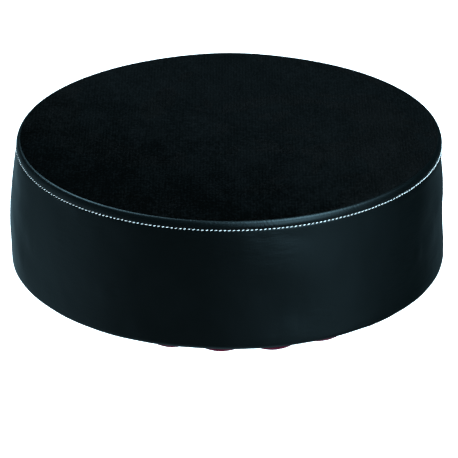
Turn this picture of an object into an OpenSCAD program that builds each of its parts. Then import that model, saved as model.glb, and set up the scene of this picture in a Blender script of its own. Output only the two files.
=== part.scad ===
// Round drum throne seat: a deep upholstered cushion on a plywood board, with a bracket
// underneath that clamps onto a seat post. Millimetres, +Z up. The origin is the middle of
// the post socket's mouth, and the axis of the seat and of the socket is Z.

/* [Seat] */
// Diameter of the seat where its side bulges most
seat_d = 357; // [300:1:430]
// Height from the underside of the board to the seam round the top
seat_h = 110; // [90:1:135]
// How much the top rises in its middle above the seam
crown_h = 3; // [1:0.5:8]
// How far inside the widest line the seam lies, measured along the radius
seam_inset = 6; // [4:0.5:10]
// How far below the seam the side is widest
widest_drop = 52; // [40:1:62]
// How far the side draws in again between its widest line and the lower corner
draw_in = 1; // [0:0.25:2]
// Radius of the lower corner, where the side turns under the board
corner_r = 12; // [8:0.5:16]

/* [Cover] */
// Thickness of the cloth of the top panel
top_panel_t = 2; // [1:0.25:3]
// Thickness of the leathercloth of the side band
band_t = 1.2; // [0.8:0.1:2]
// How far the side band runs under the board
band_turn_under = 20; // [16:1:30]
// How far below the seam the top stitching runs
stitch_drop = 6.8; // [5:0.2:10]
// How far inside the widest line the top stitching lies
stitch_inset = 3.2; // [2:0.2:3.8]
// Diameter of the top stitching's thread
thread_d = 0.9; // [0.6:0.1:1.4]
// How far the turned edges reach below the top stitching
seam_allowance = 4; // [2:0.5:8]
// Thickness of the cloth of the dust cover
dust_cover_t = 1; // [0.6:0.1:1.5]
// Bare margin between the lower corner and the edge of the dust cover
dust_cover_margin = 3; // [2:0.5:8]

/* [Padding and board] */
// Thickness of the soft foam under the top panel
topper_t = 25; // [15:1:35]
// Thickness of the plywood board
board_t = 15; // [12:0.5:18]
// Clearance between the soft layers
layer_gap = 0.2; // [0.1:0.05:0.4]

/* [Staples] */
// Number of staples in each of the two rings
staple_count = 24; // [18:1:28]
// Angle of the first staple of the dust cover, from +X towards +Y
staple_turn = 5; // [0:1:15]
// Length of a staple's crown
staple_crown = 10; // [8:0.5:12]
// Depth of a staple's legs
staple_leg = 8; // [6:0.5:10]
// Width of the staple wire
staple_wire_w = 1.2; // [0.9:0.1:1.4]
// Thickness of the staple wire
staple_wire_t = 0.6; // [0.5:0.05:0.8]

/* [Bracket] */
// Diameter of the seat post that the socket takes
post_d = 22.2; // [19:0.1:27]
// Radial clearance of the socket round the post
post_clearance = 0.05; // [0.02:0.01:0.1]
// Length of the socket, from its mouth to the bracket plate
socket_h = 50; // [42:1:60]
// Wall of the plastic bush
bush_wall = 1.5; // [1.2:0.1:2.5]
// Thickness of the bush's flange
bush_flange_t = 1.5; // [1:0.25:2.5]
// Wall of the steel socket tube
tube_wall = 2.3; // [1.8:0.1:3]
// Width of the slit that lets the socket close on the post
slit_w = 3; // [2:0.25:4]
// Height of the slit in the tube
slit_h = 36; // [32:1:38]
// Width across the flats of the square bracket plate
plate_w = 120; // [112:1:150]
// Thickness of the bracket plate
plate_t = 3; // [2.5:0.25:5]
// Corner radius of the bracket plate
plate_corner_r = 14; // [8:1:18]
// Distance between neighbouring bracket bolts
bolt_spacing = 80; // [72:1:88]
// Thickness of the gussets
gusset_t = 3; // [2:0.25:4]
// How far the gussets reach out along the plate from the tube
gusset_reach = 34; // [20:1:36]
// How far the gussets reach down the tube from the plate
gusset_drop = 14; // [8:1:16]

/* [Bracket fasteners] */
// Thread diameter of the bracket bolts
bolt_d = 6; // [5:0.5:8]
// Diameter of a bracket bolt's pan head
bolt_head_d = 12; // [10:0.5:14]
// Height of a bracket bolt's pan head
bolt_head_h = 4; // [3:0.25:5]
// Outer diameter of the flat washers
washer_d = 14; // [12.5:0.5:18]
// Thickness of the flat washers
washer_t = 1.2; // [0.8:0.1:2]
// Outer diameter of the spring washers
lock_washer_d = 11; // [9.5:0.5:13]
// Thickness of the spring washers
lock_washer_t = 1.6; // [1:0.1:2.5]
// Diameter of a tee nut's flange
tee_flange_d = 19; // [16:0.5:24]
// Thickness of a tee nut's flange
tee_flange_t = 1.5; // [1:0.1:2]
// Outer diameter of a tee nut's barrel
tee_barrel_d = 8.4; // [8:0.1:10]
// Length of a tee nut's barrel below its flange
tee_barrel_h = 9; // [6:0.5:11]

/* [Clamp] */
// Wall of the clamp collar
collar_wall = 5; // [4:0.25:7]
// Height of the clamp collar
collar_h = 22; // [18:1:24]
// Height of the collar's lower edge above the socket's mouth
collar_lift = 7; // [4:1:8]
// Thickness of each of the collar's two ears
ear_t = 8; // [7:0.5:10]
// Thread diameter of the clamp bolt
clamp_bolt_d = 8; // [6:0.5:9]
// Width across the flats of the clamp nut
clamp_nut_af = 13; // [12.5:0.5:15]
// Thickness of the clamp nut
clamp_nut_t = 6.5; // [5:0.5:7]
// Outer diameter of the clamp bolt's washer
clamp_washer_d = 17; // [15:0.5:19]
// Thickness of the clamp bolt's washer
clamp_washer_t = 1.6; // [1:0.1:2.5]
// Reach of each wing from the clamp bolt's axis
wing_reach = 17; // [14:0.5:17]
// Diameter of the wing head's hub
wing_hub_d = 15; // [14:0.5:18]
// Height of the wing head's hub
wing_hub_h = 11; // [9:0.5:14]

/* [Hidden] */

$fn = 64;
round_fn = 144;       // facets of the large turned shapes in a preview
hole_clearance = 0.4; // radial clearance of a bolt in a plain hole
thread_clearance = 0.05; // radial clearance that stands for a thread
slip = 0.1;           // radial clearance between the tube, its bush and its collar
pocket_gap = 0.05;    // clearance round a staple or a prong in the layer it pierces
through = 1;          // overshoot of a cut past the face it opens

// Heights, from the mouth of the socket up
z_plate = socket_h;
z_cover = z_plate + plate_t;
z_board = z_cover + dust_cover_t;
z_band = z_board - band_t;
z_seam = z_board + seat_h;
z_stitch = z_seam - stitch_drop;
z_allowance = z_stitch - seam_allowance;
z_widest = z_seam - widest_drop;
z_corner = z_band + corner_r;
z_topper = z_seam - top_panel_t - topper_t;
z_board_top = z_board + board_t;

// Radii of the upholstery
r_widest = seat_d / 2;
r_seam = r_widest - seam_inset;
r_stitch = r_widest - stitch_inset;
r_low = r_widest - draw_in;
r_corner = r_low - corner_r;
r_board = r_corner - layer_gap;
r_band_end = r_board - band_turn_under;
r_cover = r_corner - dust_cover_margin;
r_top = r_seam - pocket_gap;
skirt_t = 1.5;        // thickness of the top panel's turned edge
r_skirt = r_top - skirt_t;

// Staple rings: the band's staples lie between the dust cover's
band_staple_inset = 7;  // from the band's inner edge to its staples
cover_staple_inset = 4; // from the dust cover's edge to its staples
r_band_staple = r_band_end + band_staple_inset;
r_cover_staple = r_cover - cover_staple_inset;
staple_pitch = 360 / staple_count;

// Socket and clamp
r_post = post_d / 2 + post_clearance;
r_bush = r_post + bush_wall;
r_tube_in = r_bush + slip;
r_tube = r_tube_in + tube_wall;
r_collar_in = r_tube + slip;
r_collar = r_collar_in + collar_wall;
bush_top_gap = 2;     // between the bush and the bracket plate
z_clamp = collar_lift + collar_h / 2;
ear_gap = slit_w;
ear_end_r = collar_h / 2;
ear_margin = 1;       // metal between the clamp washer and the collar's round wall
y_clamp = r_collar + ear_margin + clamp_washer_d / 2;
x_ear = ear_gap / 2 + ear_t;
nut_floor = 3;        // metal left under the clamp nut in its ear
x_nut = -(ear_gap / 2 + nut_floor);
x_wing = x_ear + clamp_washer_t;
bolt_tail = 9;        // length of the clamp bolt past its nut
wing_cap = 2;         // metal of the hub over the end of the clamp bolt
x_bolt_start = x_nut - clamp_nut_t - bolt_tail;
x_bolt_end = x_wing + wing_hub_h - wing_cap;
wing_t = 5;           // thickness of a wing
wing_lobe_r = 6;      // radius of a wing's rounded end
wing_sweep = 9;       // how far the wings lean away from the collar

// Bracket bolts
bolt_end_gap = 1;     // from the end of a bolt to the top of its tee nut
bolt_l = lock_washer_t + washer_t + plate_t + dust_cover_t + board_t + tee_flange_t - bolt_end_gap;
z_washer = z_plate - washer_t;
z_lock_washer = z_washer - lock_washer_t;
prong_h = 5;          // length of a tee nut's prongs
prong_w = 2.4;        // width of a prong
prong_t = 1;          // thickness of a prong
prong_inset = 1.6;    // from the flange's edge to the middle of a prong

// Radius of the side's outer face at height z: it eases out from the stitching to the
// widest line as a sine, and draws in again below it as a parabola.
function side_r(z) = z > z_widest
    ? r_stitch + (r_widest - r_stitch) * sin(90 * (z_stitch - z) / (z_stitch - z_widest))
    : r_widest - draw_in * pow((z_widest - z) / (z_widest - z_corner), 2);

// Points down the side from height za to zb, inset by t
function side_points(za, zb, t, steps = 10) =
    [for (i = [0:steps]) let (z = za + (zb - za) * i / steps) [side_r(z) - t, z]];

// Points round the lower corner from the side to the underside, inset by t
function corner_points(t, steps = 8) =
    [for (i = [1:steps]) let (a = 90 * i / steps)
        [r_corner + (corner_r - t) * cos(a), z_corner - (corner_r - t) * sin(a)]];

// Points over the padded roll between the seam and the stitching, a quarter of an ellipse
function roll_points(z_end, steps = 6) =
    [for (i = [0:steps]) let (a = 90 * i / steps)
        [r_seam + (r_stitch - r_seam) * sin(a), z_end + (z_seam - z_end) * cos(a)]];

// Points along the crowned top from its middle to radius r, lowered by t
function crown_points(r, t, steps = 10) =
    [for (i = [0:steps]) let (x = r * i / steps)
        [x, z_seam - t + crown_h * (1 - pow(x / r_top, 2))]];

function reversed(points) = [for (i = [len(points) - 1:-1:0]) points[i]];

module turned(points) {
    rotate_extrude($fn = round_fn) polygon(points);
}

module ring(r_out, r_in, h) {
    difference() {
        cylinder(r = r_out, h = h);
        translate([0, 0, -through]) cylinder(r = r_in, h = h + 2 * through);
    }
}

// A staple with its crown along Y and its legs up, grown on all sides by grow
module staple(grow = 0) {
    w = staple_wire_w + 2 * grow;
    t = staple_wire_t + 2 * grow;
    translate([-w / 2, -staple_crown / 2 - grow, -grow]) cube([w, staple_crown + 2 * grow, t]);
    for (side = [-1, 1])
        translate([-w / 2, side * (staple_crown - staple_wire_t) / 2 - t / 2, -grow])
            cube([w, t, staple_leg + 2 * grow]);
}

module staple_ring(r, z, start, grow = 0) {
    for (i = [0:staple_count - 1])
        rotate([0, 0, start + i * staple_pitch]) translate([r, 0, z]) staple(grow);
}

module band_staple_ring(grow = 0) {
    staple_ring(r_band_staple, z_band, staple_turn + staple_pitch / 2, grow);
}

module cover_staple_ring(grow = 0) {
    staple_ring(r_cover_staple, z_band - dust_cover_t - staple_wire_t / 2, staple_turn, grow);
}

module at_bolts() {
    for (x = [-1, 1], y = [-1, 1])
        translate([x * bolt_spacing / 2, y * bolt_spacing / 2, 0]) children();
}

// ---- Cover ----

module top_panel() {
    color([0.05, 0.07, 0.08])
        turned(concat(
            crown_points(r_top, 0),
            [[r_top, z_allowance], [r_skirt, z_allowance]],
            reversed(crown_points(r_skirt, top_panel_t))
        ));
}

module side_band() {
    groove = thread_d / 2 + pocket_gap;
    color([0.09, 0.12, 0.14])
        difference() {
            turned(concat(
                roll_points(z_stitch + groove),
                [[r_stitch - groove, z_stitch + groove], [r_stitch - groove, z_stitch - groove]],
                side_points(z_stitch - groove, z_corner, 0),
                corner_points(0),
                [[r_band_end, z_band], [r_band_end, z_board]],
                reversed(corner_points(band_t)),
                reversed(side_points(z_allowance, z_corner, band_t)),
                [[r_seam, z_allowance]]
            ));
            band_staple_ring(pocket_gap);
            cover_staple_ring(pocket_gap);
        }
}

module top_stitching() {
    color([0.93, 0.95, 0.95])
        rotate_extrude($fn = round_fn)
            translate([r_stitch, z_stitch]) circle(d = thread_d, $fn = 24);
}

module band_staples() {
    color([0.75, 0.75, 0.77]) band_staple_ring();
}

module dust_cover() {
    step_in = r_band_end - layer_gap;
    color([0.33, 0.03, 0.09])
        difference() {
            turned([
                [0, z_board], [step_in - band_t, z_board], [step_in, z_band], [r_cover, z_band],
                [r_cover, z_band - dust_cover_t], [step_in - dust_cover_t, z_band - dust_cover_t],
                [step_in - band_t - dust_cover_t, z_cover], [0, z_cover]
            ]);
            cover_staple_ring(pocket_gap);
            at_bolts() translate([0, 0, z_band - dust_cover_t - through])
                cylinder(r = bolt_d / 2 + hole_clearance, h = band_t + dust_cover_t + 2 * through);
        }
}

module dust_cover_staples() {
    color([0.75, 0.75, 0.77]) cover_staple_ring();
}

// ---- Padding and board ----

module foam_topper() {
    r_in = r_skirt - layer_gap;
    t_in = top_panel_t + layer_gap;
    z_in = z_allowance - layer_gap;
    color([0.80, 0.86, 0.90])
        turned(concat(
            crown_points(r_in, t_in),
            [[r_in, z_in]],
            side_points(z_in, z_topper, band_t + layer_gap, 4),
            [[0, z_topper]]
        ));
}

module side_padding() {
    inset = band_t + layer_gap;
    color([0.88, 0.86, 0.80])
        turned(concat(
            side_points(z_topper - layer_gap, z_corner, inset),
            corner_points(inset),
            [[r_board + layer_gap, z_board + layer_gap], [r_board + layer_gap, z_topper - layer_gap]]
        ));
}

module foam_core() {
    z_core = z_board_top + layer_gap;
    color([0.92, 0.85, 0.62])
        difference() {
            translate([0, 0, z_core])
                cylinder(r = r_board, h = z_topper - layer_gap - z_core, $fn = round_fn);
            at_bolts() translate([0, 0, z_core - through])
                cylinder(d = tee_flange_d + 2 * layer_gap, h = through + tee_flange_t);
        }
}

module seat_board() {
    color([0.72, 0.55, 0.35])
        difference() {
            translate([0, 0, z_board]) cylinder(r = r_board, h = board_t, $fn = round_fn);
            at_bolts() {
                translate([0, 0, z_board - through])
                    cylinder(r = tee_barrel_d / 2 + pocket_gap, h = board_t + 2 * through);
                translate([0, 0, z_board_top]) tee_prongs(pocket_gap);
            }
            band_staple_ring(pocket_gap);
            cover_staple_ring(pocket_gap);
        }
}

// Four prongs that point down from a tee nut's flange at height 0
module tee_prongs(grow = 0) {
    for (a = [45:90:315])
        rotate([0, 0, a]) translate([tee_flange_d / 2 - prong_inset, 0, -prong_h - grow])
            translate([-prong_t / 2 - grow, -prong_w / 2 - grow, 0])
                cube([prong_t + 2 * grow, prong_w + 2 * grow, prong_h + grow]);
}

module tee_nuts() {
    color([0.78, 0.78, 0.80])
        at_bolts() translate([0, 0, z_board_top]) {
            difference() {
                union() {
                    cylinder(d = tee_flange_d, h = tee_flange_t);
                    translate([0, 0, -tee_barrel_h]) cylinder(d = tee_barrel_d, h = tee_barrel_h);
                    tee_prongs();
                }
                translate([0, 0, -tee_barrel_h - through])
                    cylinder(r = bolt_d / 2 + thread_clearance,
                             h = tee_barrel_h + tee_flange_t + 2 * through);
            }
        }
}

// ---- Bracket ----

module bracket_plate() {
    flat = plate_w - 2 * plate_corner_r;
    color([0.12, 0.13, 0.14])
        translate([0, 0, z_plate]) difference() {
            union() {
                translate([-plate_w / 2, -flat / 2, 0]) cube([plate_w, flat, plate_t]);
                translate([-flat / 2, -plate_w / 2, 0]) cube([flat, plate_w, plate_t]);
                for (x = [-1, 1], y = [-1, 1])
                    translate([x * flat / 2, y * flat / 2, 0])
                        cylinder(r = plate_corner_r, h = plate_t);
            }
            at_bolts() translate([0, 0, -through])
                cylinder(r = bolt_d / 2 + hole_clearance, h = plate_t + 2 * through);
        }
}

module bracket_gussets() {
    color([0.12, 0.13, 0.14])
        for (a = [0:90:270])
            rotate([90, 0, a]) translate([0, 0, -gusset_t / 2]) linear_extrude(gusset_t)
                polygon([
                    [r_tube + pocket_gap, z_plate], [r_tube + gusset_reach, z_plate],
                    [r_tube + gusset_reach, z_plate - plate_t],
                    [r_tube + pocket_gap, z_plate - gusset_drop]
                ]);
}

// The slit runs up from the socket's mouth on the side of the clamp's ears
module slit(r_out, h) {
    translate([-slit_w / 2, 0, -through]) cube([slit_w, r_out + through, h + through]);
}

module socket_tube() {
    color([0.12, 0.13, 0.14])
        difference() {
            translate([0, 0, bush_flange_t]) ring(r_tube, r_tube_in, z_plate - bush_flange_t);
            slit(r_tube, slit_h);
        }
}

module socket_bush() {
    color([0.85, 0.85, 0.82])
        difference() {
            union() {
                cylinder(r = r_tube, h = bush_flange_t);
                cylinder(r = r_bush, h = z_plate - bush_top_gap);
            }
            translate([0, 0, -through]) cylinder(r = r_post, h = z_plate + through);
            slit(r_tube, z_plate);
        }
}

module clamp_collar() {
    hole_r = clamp_bolt_d / 2 + hole_clearance;
    color([0.60, 0.61, 0.63])
        difference() {
            union() {
                translate([0, 0, collar_lift]) cylinder(r = r_collar, h = collar_h);
                translate([-x_ear, 0, collar_lift]) cube([2 * x_ear, y_clamp, collar_h]);
                translate([-x_ear, y_clamp, z_clamp]) rotate([0, 90, 0])
                    cylinder(r = ear_end_r, h = 2 * x_ear);
            }
            cylinder(r = r_collar_in, h = collar_lift + collar_h + through);
            translate([-ear_gap / 2, 0, collar_lift - through])
                cube([ear_gap, y_clamp + ear_end_r + through, collar_h + 2 * through]);
            translate([-x_ear - through, y_clamp, z_clamp]) rotate([0, 90, 0])
                cylinder(r = hole_r, h = 2 * (x_ear + through));
            translate([-x_ear - through, y_clamp, z_clamp]) rotate([0, 90, 0])
                hex(clamp_nut_af + 2 * thread_clearance, x_nut + x_ear + through);
        }
}

// A hexagon with its flats af apart, h high
module hex(af, h) {
    cylinder(d = af / cos(30), h = h, $fn = 6);
}

module at_clamp(x) {
    translate([x, y_clamp, z_clamp]) rotate([0, 90, 0]) children();
}

module clamp_nut() {
    color([0.75, 0.75, 0.77])
        at_clamp(x_nut - clamp_nut_t) difference() {
            hex(clamp_nut_af, clamp_nut_t);
            translate([0, 0, -through])
                cylinder(r = clamp_bolt_d / 2 + thread_clearance, h = clamp_nut_t + 2 * through);
        }
}

module clamp_washer() {
    color([0.75, 0.75, 0.77])
        at_clamp(x_ear) ring(clamp_washer_d / 2, clamp_bolt_d / 2 + hole_clearance, clamp_washer_t);
}

module clamp_bolt() {
    tip = 1;          // chamfer at the bolt's end
    color([0.75, 0.75, 0.77])
        at_clamp(x_bolt_start) {
            cylinder(r1 = clamp_bolt_d / 2 - tip, r2 = clamp_bolt_d / 2, h = tip);
            translate([0, 0, tip])
                cylinder(d = clamp_bolt_d, h = x_bolt_end - x_bolt_start - tip);
        }
}

// The wings lie along Y at rest, level with the socket
module wing_head() {
    color([0.75, 0.75, 0.77])
        difference() {
            union() {
                at_clamp(x_wing) cylinder(d = wing_hub_d, h = wing_hub_h);
                for (side = [-1, 1])
                    translate([x_wing, y_clamp, z_clamp - wing_t / 2]) linear_extrude(wing_t)
                        hull() {
                            translate([wing_hub_h - wing_cap - wing_lobe_r / 2, 0])
                                circle(r = wing_lobe_r / 2, $fn = 32);
                            translate([wing_sweep + wing_lobe_r, side * (wing_reach - wing_lobe_r)])
                                circle(r = wing_lobe_r, $fn = 32);
                        }
            }
            at_clamp(x_bolt_start)
                cylinder(r = clamp_bolt_d / 2 + thread_clearance, h = x_bolt_end - x_bolt_start);
        }
}

// ---- Bracket fasteners ----

module bracket_bolts() {
    recess_w = 1.3;   // width of the cross recess
    recess_l = 6;     // length of the cross recess
    recess_h = 2;     // depth of the cross recess
    color([0.75, 0.75, 0.77])
        at_bolts() translate([0, 0, z_lock_washer]) difference() {
            union() {
                cylinder(d = bolt_d, h = bolt_l);
                rotate_extrude() intersection() {
                    translate([0, -bolt_head_h]) square([bolt_head_d / 2, bolt_head_h]);
                    union() {
                        translate([0, -bolt_head_h]) square([(bolt_head_d - bolt_head_h) / 2, bolt_head_h]);
                        translate([(bolt_head_d - bolt_head_h) / 2, -bolt_head_h / 2])
                            circle(d = bolt_head_h, $fn = 24);
                        translate([0, -bolt_head_h / 2]) square([bolt_head_d / 2, bolt_head_h / 2]);
                    }
                }
            }
            for (a = [0, 90])
                rotate([0, 0, a]) translate([-recess_l / 2, -recess_w / 2, -bolt_head_h - through])
                    cube([recess_l, recess_w, recess_h + through]);
        }
}

module bracket_lock_washers() {
    split = 0.8;      // gap in a spring washer
    color([0.70, 0.70, 0.72])
        at_bolts() translate([0, 0, z_lock_washer]) difference() {
            ring(lock_washer_d / 2, bolt_d / 2 + hole_clearance, lock_washer_t);
            rotate([0, 0, 30]) translate([0, -split / 2, -through])
                cube([lock_washer_d, split, lock_washer_t + 2 * through]);
        }
}

module bracket_washers() {
    color([0.75, 0.75, 0.77])
        at_bolts() translate([0, 0, z_washer])
            ring(washer_d / 2, bolt_d / 2 + hole_clearance, washer_t);
}

top_panel();
side_band();
top_stitching();
foam_topper();
side_padding();
foam_core();
seat_board();
tee_nuts();
band_staples();
dust_cover();
dust_cover_staples();
bracket_plate();
bracket_gussets();
socket_tube();
socket_bush();
clamp_collar();
clamp_nut();
clamp_washer();
clamp_bolt();
wing_head();
bracket_bolts();
bracket_lock_washers();
bracket_washers();
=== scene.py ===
"""Looks of a round drum throne seat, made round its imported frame.

The cover is one skin: a velour top, a leathercloth side with a padded roll over its top
stitching, and a margin that turns under the board. A coarse cloth of that skin is blown up by
its padding between the seam and the staples, and the uneven part of its rise is carried on to
the fine surfaces. All lengths are in metres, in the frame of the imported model.
"""

import logging
import math
from dataclasses import dataclass, field
from enum import Enum
from typing import Any, Union

import bpy
import numpy as np
from mathutils import Matrix, Vector


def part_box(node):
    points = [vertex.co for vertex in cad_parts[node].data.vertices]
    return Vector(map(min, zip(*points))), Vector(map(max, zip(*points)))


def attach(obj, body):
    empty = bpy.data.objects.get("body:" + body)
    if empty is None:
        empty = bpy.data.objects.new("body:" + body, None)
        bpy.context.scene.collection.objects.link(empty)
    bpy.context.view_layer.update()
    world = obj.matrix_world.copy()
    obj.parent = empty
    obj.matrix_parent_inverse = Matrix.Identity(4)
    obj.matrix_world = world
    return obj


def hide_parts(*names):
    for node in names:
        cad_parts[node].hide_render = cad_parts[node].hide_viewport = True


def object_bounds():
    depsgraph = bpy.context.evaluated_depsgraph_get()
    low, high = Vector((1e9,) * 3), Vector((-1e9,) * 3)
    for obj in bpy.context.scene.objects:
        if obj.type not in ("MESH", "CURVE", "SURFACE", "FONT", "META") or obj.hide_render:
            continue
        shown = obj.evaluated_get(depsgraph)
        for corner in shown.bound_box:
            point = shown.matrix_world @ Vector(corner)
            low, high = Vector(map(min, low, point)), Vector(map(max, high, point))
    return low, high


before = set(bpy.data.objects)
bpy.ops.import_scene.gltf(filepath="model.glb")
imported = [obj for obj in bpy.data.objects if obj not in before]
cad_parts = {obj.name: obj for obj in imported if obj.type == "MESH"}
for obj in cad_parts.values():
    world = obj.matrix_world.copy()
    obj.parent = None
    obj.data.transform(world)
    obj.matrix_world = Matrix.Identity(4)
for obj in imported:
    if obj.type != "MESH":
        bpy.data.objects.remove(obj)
CAD_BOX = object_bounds()
LOG = logging.getLogger("throne_seat")

MM = 0.001
TURN = 2 * math.pi
FRONT = -math.pi / 2  # the angle of the seat's front, counted from +X towards +Y
REAR = math.pi / 2
Colour = tuple[float, float, float]
Points = np.ndarray


# ---------------------------------------------------------------- shader maths


class Number:
    """A socket that carries one number, so that shader maths reads as a formula."""

    def __init__(self, tree: "Tree", socket: bpy.types.NodeSocket) -> None:
        """Keep the socket and the tree that it belongs to."""
        self.tree = tree
        self.socket = socket

    def _maths(self, operation: str, *values: Any) -> "Number":
        """Add one Math node of this operation on these values."""
        return self.tree.add("ShaderNodeMath", {"operation": operation}, dict(enumerate(values)))

    def __add__(self, other: Any) -> "Number":
        """Sum of the two."""
        return self._maths("ADD", self, other)

    def __sub__(self, other: Any) -> "Number":
        """Difference of the two."""
        return self._maths("SUBTRACT", self, other)

    def __rsub__(self, other: Any) -> "Number":
        """Difference, with this number taken away."""
        return self._maths("SUBTRACT", other, self)

    def __mul__(self, other: Any) -> "Number":
        """Product of the two."""
        return self._maths("MULTIPLY", self, other)

    def __pow__(self, power: float) -> "Number":
        """This number raised to a power."""
        return self._maths("POWER", self, power)

    __radd__ = __add__
    __rmul__ = __mul__

    def sine(self) -> "Number":
        """Sine of this number."""
        return self._maths("SINE", self)

    def at_least(self, floor: float) -> "Number":
        """This number, or the floor where it is lower."""
        return self._maths("MAXIMUM", self, floor)

    def step(self, low: float, high: float) -> "Number":
        """Smooth step of this number.

        Args:
            low: where the step is 0.
            high: where it is 1.

        Returns:
            The step, between 0 and 1.
        """
        return self.tree.add(
            "ShaderNodeMapRange",
            {"interpolation_type": "SMOOTHSTEP"},
            {"Value": self, "From Min": low, "From Max": high},
        )


class Tree:
    """A node tree that is filled by formulas."""

    def __init__(self, nodes_of: Union[bpy.types.Material, bpy.types.World]) -> None:
        """Empty the tree of a material or a world.

        Args:
            nodes_of: the material or world whose nodes are made afresh.
        """
        nodes_of.use_nodes = True
        self.tree = nodes_of.node_tree
        self.tree.nodes.clear()

    def make(self, kind: str, settings: dict[str, Any], inputs: dict[Any, Any]) -> bpy.types.Node:
        """Add a node.

        Args:
            kind: the node's type.
            settings: its properties.
            inputs: a value, a socket or a Number for each named or numbered socket.

        Returns:
            The new node.
        """
        node = self.tree.nodes.new(kind)
        for name, value in settings.items():
            setattr(node, name, value)
        for name, value in inputs.items():
            if isinstance(value, Number):
                self.tree.links.new(value.socket, node.inputs[name])
            elif isinstance(value, bpy.types.NodeSocket):
                self.tree.links.new(value, node.inputs[name])
            elif isinstance(value, tuple) and node.inputs[name].type == "RGBA":
                node.inputs[name].default_value = (*value, 1.0)
            else:
                node.inputs[name].default_value = value
        return node

    def add(
        self, kind: str, settings: dict[str, Any], inputs: dict[Any, Any], output: Any = 0
    ) -> Number:
        """Add a node and return one of its outputs as a Number."""
        return Number(self, self.make(kind, settings, inputs).outputs[output])

    def noise(self, where: Any, scale: float, detail: float = 2.0, rough: float = 0.5) -> Number:
        """Noise about 0.5.

        Args:
            where: the place that it is worked out at.
            scale: blotches to the metre.
            detail: how many finer layers it has.
            rough: how strong the finer layers are.

        Returns:
            The noise.
        """
        return self.add(
            "ShaderNodeTexNoise",
            {},
            {"Vector": where, "Scale": scale, "Detail": detail, "Roughness": rough},
        )

    def cells(self, where: Any, scale: float, feature: str = "F1") -> Number:
        """Distance to the middle of the nearest cell.

        Args:
            where: the place that it is worked out at.
            scale: cells to the metre.
            feature: which distance is meant.

        Returns:
            The distance, in cells.
        """
        return self.add(
            "ShaderNodeTexVoronoi", {"feature": feature}, {"Vector": where, "Scale": scale}
        )

    def tint(self, share: Any, low: Colour, high: Colour) -> bpy.types.NodeSocket:
        """Colour between low at share 0 and high at share 1."""
        mix = self.make("ShaderNodeMix", {"data_type": "RGBA"}, {0: share, 6: low, 7: high})
        return mix.outputs[2]

    def place(self) -> bpy.types.NodeSocket:
        """The point's own place in the seat's frame, in metres."""
        return self.make("ShaderNodeTexCoord", {}, {}).outputs["Object"]

    def stretched(self, where: Any, scale: Colour) -> bpy.types.NodeSocket:
        """Places stretched along the axes, so that a pattern runs longer one way."""
        return self.make("ShaderNodeMapping", {}, {"Vector": where, "Scale": scale}).outputs[0]

    def axis(self, where: Any, name: str) -> Number:
        """One coordinate of a place."""
        return self.add("ShaderNodeSeparateXYZ", {}, {0: where}, name)

    def relief(
        self, height: Number, depth: float, strength: float = 1.0, over: Any = None
    ) -> bpy.types.NodeSocket:
        """Normals of a relief.

        Args:
            height: the relief, where 1 stands for the depth.
            depth: how deep it is, in metres.
            strength: how much of it shows.
            over: the normals of a finer relief that it lies over, if any.

        Returns:
            The normals.
        """
        inputs = {"Height": height, "Distance": depth, "Strength": strength}
        if over is not None:
            inputs["Normal"] = over
        return self.make("ShaderNodeBump", {}, inputs).outputs[0]

    def mixed(self, share: Any, first: bpy.types.Node, second: bpy.types.Node) -> bpy.types.Node:
        """Mix of two shaders, with the first where the share is 0."""
        inputs = {0: share, 1: first.outputs[0], 2: second.outputs[0]}
        return self.make("ShaderNodeMixShader", {}, inputs)

    def end(self, shader: bpy.types.Node, output: str = "ShaderNodeOutputMaterial") -> None:
        """Join the last shader to the tree's output."""
        self.make(output, {}, {"Surface": shader.outputs[0]})

    def surface(self, **sockets: Any) -> None:
        """End a material in a Principled shader.

        Args:
            sockets: what each socket is given, its name's words being joined with _.
        """
        named = {name.replace("_", " "): value for name, value in sockets.items()}
        self.end(self.make("ShaderNodeBsdfPrincipled", {}, named))


# ---------------------------------------------------------------- finishes


@dataclass(frozen=True)
class Finish:
    """A material of the seat; each kind says how its surface is worked out."""

    title: str

    def material(self) -> bpy.types.Material:
        """Find the finish's material, or make it the first time.

        Returns:
            The material.
        """
        found = bpy.data.materials.get(self.title)
        if found is None:
            found = bpy.data.materials.new(self.title)
            self.lay(Tree(found))
        return found

    def lay(self, tree: Tree) -> None:
        """Fill the tree with this finish's nodes."""
        raise NotImplementedError


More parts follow.
